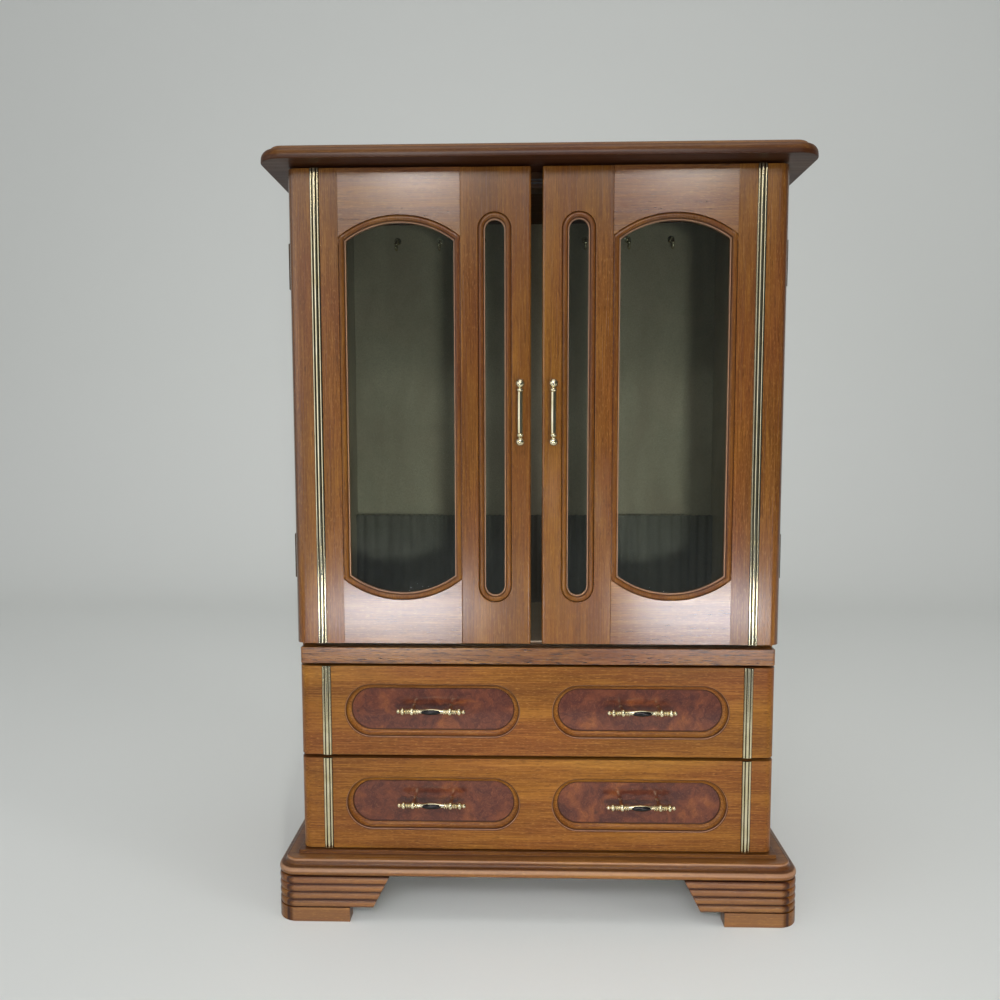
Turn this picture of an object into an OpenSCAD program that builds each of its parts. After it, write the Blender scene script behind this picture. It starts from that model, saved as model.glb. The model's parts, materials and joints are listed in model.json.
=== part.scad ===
// Tabletop jewellery armoire: a moulded hardwood case on bracket feet, with two
// glazed doors over a necklace compartment and two drawers below.
// X runs across the front, the front faces -Y, Z is up, and Z = 0 is the floor.

/* [Case] */
// Width across the two doors
case_w = 316; // [290:1:340]
// Depth from the door faces to the back edge of the side panels
case_depth = 156; // [140:1:180]
// Thickness of the side panels
side_t = 11; // [10.5:0.5:14]
// Thickness of the back panel
back_t = 4; // [3.5:0.5:6]
// Thickness of the board under the glazed compartment
floor_t = 8; // [6:0.5:9]
// Thickness of the board between the drawers
dust_t = 5; // [4:0.5:7]
// Height of the rail between the doors and the upper drawer
rail_h = 10.7; // [9.5:0.1:14]
// How far each end of the rail stands in from the door's outer edge
rail_inset = 2.7; // [0.5:0.1:4]
// Radius on the rail's upright front edges
rail_edge_r = 1.5; // [0.5:0.1:3]

/* [Top slab] */
// Thickness of the top slab
slab_t = 10.2; // [8.5:0.1:12]
// Overhang of the slab past the doors at each side
slab_side = 15.3; // [13:0.1:20]
// Overhang of the slab past the door faces
slab_front = 14.5; // [14:0.5:20]
// Overhang of the slab past the back of the case
slab_back = 1.5; // [0:0.5:5]
// Radius of the slab's front corners, seen from above
slab_corner_r = 15; // [10:0.5:25]

/* [Base and feet] */
// Thickness of the base board
base_t = 12.1; // [11.5:0.1:14]
// Overhang of the base past the doors at each side
base_side = 13.3; // [11:0.1:18]
// Overhang of the base past the door faces
base_front = 14.5; // [11:0.1:18]
// Radius of the base's front corners, seen from above
base_corner_r = 13.5; // [13:0.5:20]
// Height of the feet under the base board
foot_h = 30.4; // [25:0.1:40]
// Height of the plain block at the bottom of each foot
foot_block_h = 9.5; // [6:0.5:14]
// Length of the plain block along the front
foot_block_w = 49; // [40:1:55]
// Length of the reeded part along the front, at its bottom
foot_bottom_w = 64.2; // [58:0.1:68]
// Length of the reeded part along the front, at its top
foot_top_w = 75; // [70:1:85]
// Length of the foot's side arm as a share of its front arm
foot_arm_share = 0.78; // [0.6:0.01:0.9]
// Thickness of the foot's two boards
foot_board_t = 10; // [8:0.5:12]
// How far the reeds stand in under the base's edge
foot_inset = 0.1; // [0:0.1:3]
// Number of reeds on a foot
reed_count = 4; // [3:1:6]
// Depth of the hollows between the reeds
reed_depth = 1.2; // [0.6:0.1:2]

/* [Doors] */
// Height of the doors
door_h = 303.7; // [290:0.1:330]
// Thickness of the doors
door_t = 15; // [13:0.5:18]
// Gap between the two closed doors
door_gap = 7.2; // [2:0.1:8]
// Gap between the doors and the slab
door_gap_top = 1.6; // [1:0.1:3]
// Gap between the doors and the rail
door_gap_bottom = 3; // [1.5:0.1:5]
// Radius of the door's outer upright edge
door_edge_r = 6.5; // [3:0.5:9]
// Radius of the door's free upright edge
free_edge_r = 1.6; // [0.5:0.1:3]
// Width of the hinge-side stile
outer_stile_w = 32.2; // [28:0.1:34]
// Width of the wide stile at the free edge
inner_stile_w = 44.7; // [42:0.1:48]

/* [Glazing] */
// Height of the large glass that shows, from apex to apex
pane_h = 237.2; // [215:0.1:250]
// Rise of the arch at each end of the large glass
pane_rise = 11.4; // [8:0.1:15]
// Width of the narrow glass that shows
slot_w = 12.4; // [9:0.1:14]
// How much taller the narrow glass shows than the large one
slot_extra_h = 2.4; // [-10:0.1:10]
// Distance from the door's free edge to the middle of the narrow glass
slot_from_edge = 23; // [21:0.1:25]
// Width of the moulding round each glass
moulding_w = 4.4; // [3.5:0.1:5]
// Depth of the moulding from the door's face to the glass
moulding_t = 5; // [4:0.1:5.5]
// Thickness of the glass
glass_t = 2; // [1.5:0.1:3]
// Width of the bead that holds the glass from behind
bead_w = 2.6; // [1.5:0.1:3.2]
// Thickness of that bead
bead_t = 2.5; // [1.5:0.1:3]

/* [Drawers] */
// Height of the upper drawer's front
upper_front_h = 60; // [56:0.5:70]
// Height of the lower drawer's front
lower_front_h = 62; // [56:0.5:72]
// Gap between the two drawer fronts
drawer_gap = 2.3; // [1:0.1:3.5]
// Gap between the upper drawer's front and the rail
front_gap_top = 1.7; // [1:0.1:3]
// Gap between the lower drawer's front and the base
front_gap_bottom = 0.8; // [0.5:0.1:2]
// How far each end of a drawer front stands in from the door's outer edge
front_inset = 1.8; // [0.5:0.1:3]
// Radius of the drawer front's outer upright edges
front_edge_r = 6; // [3:0.5:8]
// Free space between the back of a drawer box and the back panel
drawer_back_space = 7.8; // [4:0.1:20]
// Height of the drawer box
drawer_box_h = 46; // [35:0.5:50]
// Thickness of the drawer box's sides and back
drawer_side_t = 7; // [5:0.5:9]
// Thickness of the drawer's bottom
drawer_bottom_t = 3; // [2:0.5:4]
// Clearance at each side of the drawer box
drawer_side_clear = 1; // [0.5:0.1:2]
// Length of an oval recess in a drawer front
recess_w = 116; // [100:1:124]
// Height of an oval recess
recess_h = 36; // [30:0.5:40]
// Distance of a recess's middle from the middle of the drawer
recess_x = 68.6; // [64:0.1:70]
// Width of the moulded slope round the burl panel
recess_slope = 4.4; // [3:0.1:6]
// Depth of the burl panel's face below the drawer front's face
recess_depth = 5; // [3:0.1:6]
// Thickness of the burl panel
plaque_t = 1.2; // [0.8:0.1:2]

/* [Brass] */
// Width of a reeded brass strip
strip_w = 6; // [4:0.1:8]
// Distance of the strip's middle from the outer edge of its door or drawer
strip_from_edge = 17.8; // [13:0.1:20]
// Depth of the groove that the strip lies in
strip_groove = 1; // [0.5:0.1:2]
// Distance between the middles of a door handle's two balls
handle_span = 36.4; // [30:0.1:50]
// Distance of the handle's rod from the door's free edge
handle_from_edge = 6.8; // [5.5:0.1:8]
// Distance of the handle's rod in front of the door
handle_reach = 11; // [8:0.1:11]
// Radius of the handle's end balls
handle_ball_r = 2.85; // [2.2:0.05:3]
// Radius of the handle's rod
handle_rod_r = 1.7; // [1.2:0.1:2]
// Distance of the handle's middle below the middle of the door
handle_drop = 1.7; // [0:0.1:10]
// Overall length of a drawer pull
pull_l = 45.6; // [38:0.1:60]
// Distance between the two posts of a drawer pull
pull_span = 25.8; // [23:0.1:32]
// Distance of the pull's rod in front of the burl panel
pull_reach = 13; // [10:0.1:14]
// Height of the pull above the middle of its recess
pull_rise = 2; // [0:0.1:4]
// Largest radius of the pull's middle swelling
pull_bulb_r = 2.5; // [2:0.1:3]

/* [Hinges and catch] */
// Length of a hinge
hinge_l = 29; // [24:0.5:36]
// Height of the upper hinge's middle above the bottom of the door
hinge_upper = 246; // [225:1:260]
// Height of the lower hinge's middle above the bottom of the door
hinge_lower = 56; // [40:1:80]
// Thickness of a hinge leaf
leaf_t = 0.7; // [0.5:0.05:0.7]
// Width of a hinge leaf on the wood
leaf_w = 10; // [9:0.1:10.4]
// Radius of the hinge's knuckles
knuckle_r = 1.7; // [1.5:0.1:2.2]
// Radius of the hinge pin
pin_r = 0.8; // [0.6:0.05:0.9]
// Width of the magnetic catch
catch_w = 44; // [36:1:50]
// Height of the magnetic catch
catch_h = 10; // [9:0.5:12]
// Depth of the magnetic catch
catch_d = 14; // [10:0.5:18]

/* [Inside] */
// Thickness of the cloth-covered linings
lining_t = 1; // [0.8:0.1:2]
// Distance of the middle necklace hook of each door from the middle of the case
hook_x = 75.5; // [65:0.5:80]
// Distance between neighbouring hooks
hook_pitch = 34.5; // [25:0.5:36]
// Distance of the hooks below the slab
hook_drop = 13; // [11:0.5:30]
// Radius of the hook's wire
hook_wire_r = 0.9; // [0.7:0.1:1.2]
// Height of the gathered necklace pouch
pouch_h = 73; // [50:1:100]
// Distance of the pouch's cloth from the back lining
pouch_reach = 10; // [8:0.5:16]
// Thickness of the pouch's cloth
pouch_t = 1.2; // [0.8:0.1:2]
// Depth of a gather in the pouch
gather_depth = 1.5; // [0.5:0.1:2.5]
// Number of gathers across the pouch
gather_count = 22; // [10:1:30]

/* [Hidden] */
$fn = 48;
// facets on the wide arches of the large pane
arch_facets = 96;
// running clearance under a drawer box, and its stop against the case
run_clear = 0.3;
stop_clear = 0.4;
// space between a door's back and the case's front edge, shared by two hinge leaves
hinge_gap = 1.6;
knuckle_clear = 0.2;
pin_clear = 0.05;
screw_clear = 0.05;
glass_clear = 0.15;
cloth_clear = 0.3;
half_w = case_w / 2;
inner_half = half_w - side_t;
front_reach = max(slab_front, base_front);
face_y = -(front_reach + case_depth + slab_back) / 2 + front_reach;
door_back_y = face_y + door_t;
case_y = door_back_y + hinge_gap;
back_y = face_y + case_depth;
back_panel_y = back_y - back_t;
lining_y = back_panel_y - lining_t;
// levels, from the floor up
deck_z = foot_h + base_t;
lower_z = deck_z + front_gap_bottom;
upper_z = lower_z + lower_front_h + drawer_gap;
rail_z = upper_z + upper_front_h + front_gap_top;
floor_z = rail_z + rail_h;
floor_top_z = floor_z + lining_t;
door_z = floor_z + door_gap_bottom;
door_mid_z = door_z + door_h / 2;
door_top_z = door_z + door_h;
slab_z = door_top_z + door_gap_top;
dust_z = upper_z - drawer_gap / 2 - dust_t / 2;
// door frame, for the right-hand door
free_x = door_gap / 2;
inner_joint_x = free_x + inner_stile_w;
outer_joint_x = half_w - outer_stile_w;
pane_x = (inner_joint_x + outer_joint_x) / 2;
pane_out_w = outer_joint_x - inner_joint_x;
pane_in_w = pane_out_w - 2 * moulding_w;
slot_h = pane_h + slot_extra_h;
// radius and centre height of the arch at each end of the large pane
arch_r = (pow(pane_in_w / 2, 2) + pow(pane_rise, 2)) / (2 * pane_rise);
arch_dz = pane_h / 2 - arch_r;
arch_out_r = arch_r + moulding_w;
corner_dz = arch_dz + sqrt(pow(arch_out_r, 2) - pow(pane_out_w / 2, 2));
slot_x = free_x + slot_from_edge;
strip_x = half_w - strip_from_edge;
// drawer sizes
front_t = door_t + hinge_gap - stop_clear;
front_half = half_w - front_inset;
front_strip_x = front_half - strip_from_edge;
box_half = inner_half - drawer_side_clear;
box_y = face_y + front_t;
drawer_box_l = back_panel_y - drawer_back_space - box_y;
bottom_rise = 3;
// hinge
hinge_x = half_w + knuckle_clear + knuckle_r;
hinge_y = door_back_y + hinge_gap / 2;
hinge_zs = [door_z + hinge_lower, door_z + hinge_upper];
knuckle_l = (hinge_l - 2 * knuckle_clear) / 3;
screw_r = 0.9;
screw_head_r = 1.6;
screw_l = 8;
screw_dx = 5.5;
screw_dz = hinge_l * 0.31;
// catch
pole_t = 0.9;
pole_pitch = 2;
pole_drop = 6.2;
strike_w = 16;
strike_h = 8;
strike_t = 1;
pole_y = door_back_y + strike_t + 0.3;
pole_out = 1;
// hooks
hook_stem = 4;
hook_bend = 2.5;
hook_fall = 3.5;
hook_cup = 2.6;
hook_tip = 1.5;
hook_in = 3;
hook_z = slab_z - hook_drop;

wood = "#8a5428";
wood_dark = "#6f421f";
wood_bare = "#b08a5c";
burl = "#6b3426";
brass = "#c9a84c";
bronze = "#5a4a32";
steel = "#b8bcc0";
felt = "#6f6a52";
enamel = "#15120f";

// ---------------------------------------------------------------- helpers

// draws its children and their mirror image about the middle of the case
module both_sides() {
    children();
    mirror([1, 0, 0]) children();
}

// a block given by its lowest and highest corners
module block(low, high) {
    translate(low) cube(high - low);
}

// upright board, its front corners rounded by r0 at x0 and r1 at x1 (seen from above)
module upright_board(x0, x1, y0, y1, z0, z1, r0, r1) {
    translate([0, 0, z0]) linear_extrude(z1 - z0) difference() {
        translate([x0, y0]) square([x1 - x0, y1 - y0]);
        difference() {
            translate([x0 - 1, y0 - 1]) square(r0 + 1);
            translate([x0 + r0, y0 + r0]) circle(r0);
        }
        difference() {
            translate([x1 - r1, y0 - 1]) square(r1 + 1);
            translate([x1 - r1, y0 + r1]) circle(r1);
        }
    }
}

// board whose front and side edges follow a profile of [inset, height] points, listed
// from the bottom up, and whose two front corners are rounded by r
module moulded_board(half, y0, y1, t, r, profile) {
    strip = concat([[r, 0]], profile, [[r, t]]);
    turned = concat([[0, 0]], [for (p = profile) [r - p[0], p[1]]], [[0, t]]);
    block([-half + r, y0 + r, 0], [half - r, y1, t]);
    translate([-half + r, y0, 0]) rotate([90, 0, 90]) linear_extrude(2 * (half - r))
        polygon(strip);
    both_sides() {
        translate([half, y1, 0]) rotate([90, 0, 0]) linear_extrude(y1 - y0 - r)
            mirror([1, 0]) polygon(strip);
        translate([half - r, y0 + r, 0]) rotate([0, 0, -90]) rotate_extrude(angle = 90)
            polygon(turned);
    }
}

// plate with half-round ends, standing in the XZ plane; w and h are its outer sizes
module oval_plate(x, z, w, h, y0, y1) {
    r = min(w, h) / 2;
    dx = w / 2 - r;
    dz = h / 2 - r;
    translate([x, y0, z]) {
        translate([-w / 2 + (dx > 0 ? r : 0), 0, -h / 2 + (dz > 0 ? r : 0)])
            cube([w - (dx > 0 ? 2 * r : 0), y1 - y0, h - (dz > 0 ? 2 * r : 0)]);
        for (s = [-1, 1]) translate([s * dx, 0, s * dz]) rotate([-90, 0, 0])
            cylinder(h = y1 - y0, r = r);
    }
}

// plate with straight sides and arched ends, centred on the door's large pane; it is
// the large pane's outline grown by g
module arched_plate(g, y0, y1) {
    w = pane_in_w + 2 * g;
    r = arch_r + g;
    straight = arch_dz + sqrt(pow(r, 2) - pow(w / 2, 2));
    translate([pane_x, 0, door_mid_z]) {
        block([-w / 2, y0, -straight], [w / 2, y1, straight]);
        for (m = [0, 1]) mirror([0, 0, m]) intersection() {
            translate([0, y0, arch_dz]) rotate([-90, 0, 0]) cylinder(h = y1 - y0, r = r, $fn = arch_facets);
            block([-w / 2, y0, straight - 1], [w / 2, y1, arch_dz + r + 1]);
        }
    }
}

// section of the glazing moulding: [distance in from its outer edge, depth below the face]
bead_section = concat(
    [[0, moulding_t], [0, 1.4]],
    [for (a = [15:15:165]) [moulding_w * 0.42 * (1 - cos(a)), 1.4 - 1.5 * sin(a)]],
    [[moulding_w * 0.84, 1.6], [moulding_w * 0.88, 2.1], [moulding_w, 2.1], [moulding_w, moulding_t]]
);

// ring of that section round the Y axis, with outer radius r
module moulding_ring(r, fine) {
    translate([0, face_y, 0]) rotate([-90, 0, 0]) rotate_extrude($fn = fine)
        polygon([for (p = bead_section) [r - p[0], p[1]]]);
}

// upright length of that section, its outer edge at x and running to -X
module moulding_bar(x, z0, z1) {
    translate([x, face_y, z0]) linear_extrude(z1 - z0)
        polygon([for (p = bead_section) [-p[0], p[1]]]);
}

// section of a reeded brass strip: a wide bead between two narrow ones
module strip_section(x) {
    side_r = strip_w * 0.15;
    mid_r = strip_w * 0.24;
    translate([x, face_y]) difference() {
        union() {
            translate([-strip_w / 2, 0]) square([strip_w, strip_groove]);
            translate([0, 0.4]) circle(mid_r);
            for (s = [-1, 1]) translate([s * (strip_w / 2 - side_r), 0.1]) circle(side_r);
        }
        translate([-strip_w, strip_groove]) square([2 * strip_w, strip_w]);
    }
}

// groove for a strip
module strip_groove_cut(x, z0, z1) {
    block([x - strip_w / 2, face_y - 1, z0 - 1], [x + strip_w / 2, face_y + strip_groove, z1 + 1]);
}

// countersunk screw along +Z with its head at Z = 0; grow widens it into its hole
module screw(grow) {
    cylinder(h = leaf_t, r1 = screw_head_r + grow, r2 = screw_r + grow);
    cylinder(h = screw_l + grow * 4, r = screw_r + grow);
}

// places its children at the four screws of the right-hand hinges, pointing into the
// door (dir = 1) or into the case (dir = -1)
module at_hinge_screws(dir) {
    for (z = hinge_zs, s = [-1, 1])
        translate([half_w - screw_dx, hinge_y - dir * (knuckle_clear / 2), z + s * screw_dz])
            rotate([dir * 90, 0, 0]) translate([0, 0, -knuckle_clear / 2 + leaf_clear]) children();
}
// distance from the middle of the hinge gap to the inner face of a leaf
leaf_clear = hinge_gap / 2 - leaf_t;

// ------------------------------------------------------------------- case

slab_lip = 2;
slab_ovolo = 4.6;
slab_step = 0.8;
slab_bead_w = 3;
slab_bead_h = 2.6;
slab_profile = concat(
    [[0.4, 0], [0, 0.4]],
    [for (a = [0:15:90]) [slab_ovolo * (1 - cos(a)),
                          slab_lip + (slab_t - slab_lip - slab_bead_h) * sin(a)]],
    [for (a = [0:15:90]) [slab_ovolo + slab_step + slab_bead_w * (1 - cos(a)),
                          slab_t - slab_bead_h * (1 - sin(a))]]
);

module top_slab() {
    color(wood) translate([0, 0, slab_z])
        moulded_board(half_w + slab_side, face_y - slab_front, back_y + slab_back,
                      slab_t, slab_corner_r, slab_profile);
}

module right_side_panel() {
    color(wood) difference() {
        block([inner_half, case_y, deck_z], [half_w, back_y, slab_z]);
        at_hinge_screws(-1) screw(screw_clear);
    }
}

module back_panel() {
    color(wood_bare) difference() {
        block([-inner_half, back_panel_y, deck_z], [inner_half, back_y, slab_z]);
        at_hooks() hook_shank(screw_clear);
    }
}

module compartment_floor() {
    color(wood_bare)
        block([-inner_half, case_y, floor_z - floor_t], [inner_half, back_panel_y, floor_z]);
}

module mid_rail() {
    color(wood)
        upright_board(-half_w + rail_inset, half_w - rail_inset, face_y, case_y,
                      rail_z, floor_z, rail_edge_r, rail_edge_r);
}

module dust_board() {
    color(wood_bare)
        block([-inner_half, case_y, dust_z], [inner_half, back_panel_y, dust_z + dust_t]);
}

nose_r = 3;
cove_w = 1.8;
cove_h = 3;
base_bead_w = 1.2;
// distance in from the edge to the step that the drawers stand over
deck_step_in = 12.6;
deck_step_h = 2.2;
base_bead_h = base_t - deck_step_h - 2 * nose_r - cove_h;
base_profile = concat(
    [for (a = [-90:15:90]) [nose_r * (1 - cos(a)), nose_r * (1 + sin(a))]],
    [for (a = [15:15:90]) [nose_r + cove_w * sin(a), 2 * nose_r + cove_h * (1 - cos(a))]],
    [for (a = [15:15:90]) [nose_r + cove_w + base_bead_w * (1 - cos(a)),
                           2 * nose_r + cove_h + base_bead_h * sin(a)]],
    [[deck_step_in, base_t - deck_step_h], [deck_step_in, base_t]]
);

module base_board() {
    color(wood) translate([0, 0, foot_h])
        moulded_board(half_w + base_side, face_y - base_front, back_y, base_t,
                      base_corner_r, base_profile);
}

reed_pitch = (foot_h - foot_block_h) / reed_count;
foot_profile = concat(
    [[0, 0], [0, foot_block_h]],
    [for (i = [0:reed_count - 1], a = [0:30:150])
        [reed_depth * (1 - sin(a)), foot_block_h + reed_pitch * (i + (1 - cos(a)) / 2)]],
    [[reed_depth, foot_h]]
);

// outline of a foot's arm, seen square on: x runs in from the outer corner
module arm_outline(k) {
    polygon([
        [-1, -1], [foot_block_w * k, -1], [foot_block_w * k, foot_block_h],
        [foot_bottom_w * k, foot_block_h], [foot_top_w * k, foot_h], [foot_top_w * k, foot_h + 1],
        [-1, foot_h + 1]
    ]);
}

// right-hand foot; at the back its rear board is plain and its corner square
module foot(back) {
    half = half_w + base_side - foot_inset;
    y0 = face_y - base_front + foot_inset;
    corner_y = back ? back_y : y0;
    inward = back ? -1 : 1;
    color(wood) intersection() {
        moulded_board(half, y0, back_y, foot_h, base_corner_r - foot_inset, foot_profile);
        union() {
            // arm along the front or the back
            intersection() {
                translate([half, corner_y - inward, 0]) rotate([90, 0, 0])
                    linear_extrude(2 * (foot_board_t + 1), center = true)
                        mirror([1, 0]) arm_outline(1);
                block([0, min(corner_y, corner_y + inward * foot_board_t), -2],
                      [half + 1, max(corner_y, corner_y + inward * foot_board_t), foot_h + 2]);
            }
            // arm along the side
            intersection() {
                translate([half, corner_y, 0]) mirror([0, back ? 1 : 0, 0]) rotate([90, 0, 90])
                    linear_extrude(2 * (foot_board_t + 1), center = true)
                        arm_outline(foot_arm_share);
                block([half - foot_board_t, -case_depth, -2], [half + 1, case_depth, foot_h + 2]);
            }
        }
    }
}

module back_lining() {
    color(felt) difference() {
        block([-inner_half, lining_y, floor_z], [inner_half, back_panel_y, slab_z]);
        at_hooks() hook_shank(screw_clear);
    }
}

module compartment_linings() {
    color(felt) {
        both_sides()
            block([inner_half - lining_t, case_y, floor_z], [inner_half, lining_y, slab_z]);
        block([-inner_half + lining_t, case_y, floor_z], [inner_half - lining_t, lining_y, floor_top_z]);
    }
}

// places its children at the foot of each hook, on the face of the back lining
module at_hooks() {
    both_sides() for (i = [-1:1]) translate([hook_x + i * hook_pitch, lining_y, hook_z]) children();
}

// threaded end of a hook, in the lining and the back panel
module hook_shank(grow) {
    rotate([-90, 0, 0]) cylinder(h = hook_in + grow * 4, r = hook_wire_r + grow);
}

// bend of the hook's wire in the YZ plane, about the X axis through the origin
module wire_bend(r, from, sweep) {
    rotate([0, 90, 0]) rotate([0, 0, from]) rotate_extrude(angle = sweep)
        translate([r, 0]) circle(hook_wire_r);
}

module hook() {
    hook_shank(0);
    rotate([90, 0, 0]) {
        cylinder(h = hook_stem, r = hook_wire_r);
        cylinder(h = 0.8, r = 3 * hook_wire_r);
    }
    down_y = -hook_stem - hook_bend;
    low_z = -hook_bend - hook_fall;
    translate([0, -hook_stem, -hook_bend]) wire_bend(hook_bend, 180, 90);
    translate([0, down_y, low_z]) cylinder(h = hook_fall, r = hook_wire_r);
    translate([0, down_y - hook_cup, low_z]) wire_bend(hook_cup, -90, 180);
    translate([0, down_y - 2 * hook_cup, low_z]) {
        cylinder(h = hook_tip, r = hook_wire_r);
        translate([0, 0, hook_tip]) sphere(1.4 * hook_wire_r);
    }
}

module necklace_hooks() {
    color(brass) at_hooks() hook();
}

// front face of the pouch's cloth, as depth along the case's width
function gather_y(u) = gather_depth * 0.5 * (1 - cos(360 * gather_count * u));

module pouch_section(t) {
    half = inner_half - lining_t - cloth_clear;
    n = gather_count * 6;
    edge = [for (i = [0:n]) [-half + 2 * half * i / n, gather_y(i / n)]];
    polygon(concat(edge, [for (i = [n:-1:0]) edge[i] + [0, t]]));
}

module necklace_pouch() {
    hem_h = 5;
    color(felt) translate([0, lining_y - pouch_reach, floor_top_z]) {
        linear_extrude(pouch_h) pouch_section(pouch_t);
        translate([0, -pouch_t / 2, pouch_h - hem_h]) linear_extrude(hem_h) pouch_section(2 * pouch_t);
    }
}

module magnetic_catch() {
    housing_y = pole_y + pole_out;
    half = catch_w / 2;
    pole_z = slab_z - pole_drop;
    color(steel) for (s = [-1, 1])
        block([-half + 2, pole_y, pole_z + s * pole_pitch / 2 - pole_t / 2],
              [half - 2, housing_y + catch_d - 2, pole_z + s * pole_pitch / 2 + pole_t / 2]);
    color(wood_dark) difference() {
        block([-half, housing_y, slab_z - catch_h], [half, housing_y + catch_d, slab_z]);
        for (s = [-1, 1])
            block([-half + 2, pole_y - 1, pole_z + s * pole_pitch / 2 - pole_t / 2],
                  [half - 2, housing_y + catch_d - 2, pole_z + s * pole_pitch / 2 + pole_t / 2]);
    }
}

// ----------------------------------------------------------------- hinges

// knuckle of the right-hand hinge at height z, with the tab that joins it to its leaf
module knuckle(z, toward) {
    translate([hinge_x, hinge_y, z]) {
        cylinder(h = knuckle_l, r = knuckle_r);
        translate([half_w - hinge_x, toward > 0 ? leaf_clear : -leaf_clear - leaf_t, 0])
            cube([hinge_x - half_w, leaf_t, knuckle_l]);
    }
}

// leaf plate of the right-hand hinge centred on height z
module leaf(z, toward) {
    y = toward > 0 ? hinge_y + leaf_clear : hinge_y - leaf_clear - leaf_t;
    block([half_w - leaf_w, y, z - hinge_l / 2], [half_w, y + leaf_t, z + hinge_l / 2]);
}

module pin_bore() {
    for (z = hinge_zs) translate([hinge_x, hinge_y, z - hinge_l / 2 - 1])
        cylinder(h = hinge_l + 2, r = pin_r + pin_clear);
}

module case_leaves() {
    difference() {
        for (z = hinge_zs) {
            leaf(z, 1);
            knuckle(z - hinge_l / 2, 1);
            knuckle(z + hinge_l / 2 - knuckle_l, 1);
        }
        pin_bore();
        at_hinge_screws(-1) screw(screw_clear);
    }
}

module case_hinge_leaves() {
    color(bronze) both_sides() case_leaves();
}

module hinge_pins() {
    head_h = 0.6;
    color(bronze) both_sides() for (z = hinge_zs) translate([hinge_x, hinge_y, z]) {
        cylinder(h = hinge_l + 0.1, r = pin_r, center = true);
        for (m = [0, 1]) mirror([0, 0, m]) translate([0, 0, hinge_l / 2 + 0.05])
            cylinder(h = head_h, r1 = knuckle_r * 0.9, r2 = pin_r);
    }
}

module case_hinge_screws() {
    color(bronze) both_sides() at_hinge_screws(-1) screw(0);
}

// --------------------------------------------------------- right-hand door

module door_outer_stile() {
    color(wood) difference() {
        upright_board(outer_joint_x, half_w, face_y, door_back_y, door_z, door_top_z,
                      0.001, door_edge_r);
        strip_groove_cut(strip_x, door_z, door_top_z);
        at_hinge_screws(1) screw(screw_clear);
    }
}

module door_inner_stile() {
    color(wood) difference() {
        upright_board(free_x, inner_joint_x, face_y, door_back_y, door_z, door_top_z,
                      free_edge_r, 0.001);
        oval_plate(slot_x, door_mid_z, slot_w + 2 * moulding_w, slot_h + 2 * moulding_w,
                   face_y - 1, door_back_y + 1);
    }
}

// rail across the top of the large pane
module rail_above_pane() {
    difference() {
        block([inner_joint_x, face_y, door_mid_z + corner_dz],
              [outer_joint_x, door_back_y, door_top_z]);
        arched_plate(moulding_w, face_y - 1, door_back_y + 1);
    }
}

module door_top_rail() {
    color(wood) rail_above_pane();
}

module door_bottom_rail() {
    color(wood) translate([0, 0, 2 * door_mid_z]) mirror([0, 0, 1]) rail_above_pane();
}

module big_moulding() {
    reach = arch_dz + arch_out_r;
    intersection() {
        arched_plate(moulding_w, face_y - 1, face_y + moulding_t + 1);
        translate([pane_x, 0, 0]) for (m = [0, 1]) mirror([m, 0, 0])
            moulding_bar(pane_out_w / 2, door_mid_z - reach, door_mid_z + reach);
    }
    translate([pane_x, 0, door_mid_z]) for (m = [0, 1]) mirror([0, 0, m]) intersection() {
        translate([0, 0, arch_dz]) moulding_ring(arch_out_r, arch_facets);
        block([-pane_out_w / 2, face_y - 1, corner_dz - 4 * moulding_w],
              [pane_out_w / 2, face_y + moulding_t + 1, reach + 1]);
    }
}

module slot_moulding() {
    r = slot_w / 2 + moulding_w;
    dz = slot_h / 2 - slot_w / 2;
    translate([slot_x, 0, door_mid_z]) {
        for (m = [0, 1]) mirror([m, 0, 0]) moulding_bar(r, -dz, dz);
        for (m = [0, 1]) mirror([0, 0, m]) translate([0, 0, dz]) intersection() {
            moulding_ring(r, $fn);
            block([-r - 1, face_y - 1, 0], [r + 1, face_y + moulding_t + 1, r + 1]);
        }
    }
}

module door_mouldings() {
    color(wood) {
        big_moulding();
        slot_moulding();
    }
}

glass_y = face_y + moulding_t + glass_clear;

module door_glass() {
    g = moulding_w - glass_clear;
    color([0.75, 0.85, 0.82, 0.35]) {
        arched_plate(g, glass_y, glass_y + glass_t);
        oval_plate(slot_x, door_mid_z, slot_w + 2 * g, slot_h + 2 * g, glass_y, glass_y + glass_t);
    }
}

module door_glass_beads() {
    y0 = glass_y + glass_t;
    g = moulding_w;
    k = moulding_w - bead_w;
    color(wood_bare) {
        difference() {
            arched_plate(g, y0, y0 + bead_t);
            arched_plate(k, y0 - 1, y0 + bead_t + 1);
        }
        difference() {
            oval_plate(slot_x, door_mid_z, slot_w + 2 * g, slot_h + 2 * g, y0, y0 + bead_t);
            oval_plate(slot_x, door_mid_z, slot_w + 2 * k, slot_h + 2 * k, y0 - 1, y0 + bead_t + 1);
        }
    }
}

module door_brass_strip() {
    color(brass) translate([0, 0, door_z]) linear_extrude(door_h) strip_section(strip_x);
}

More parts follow.
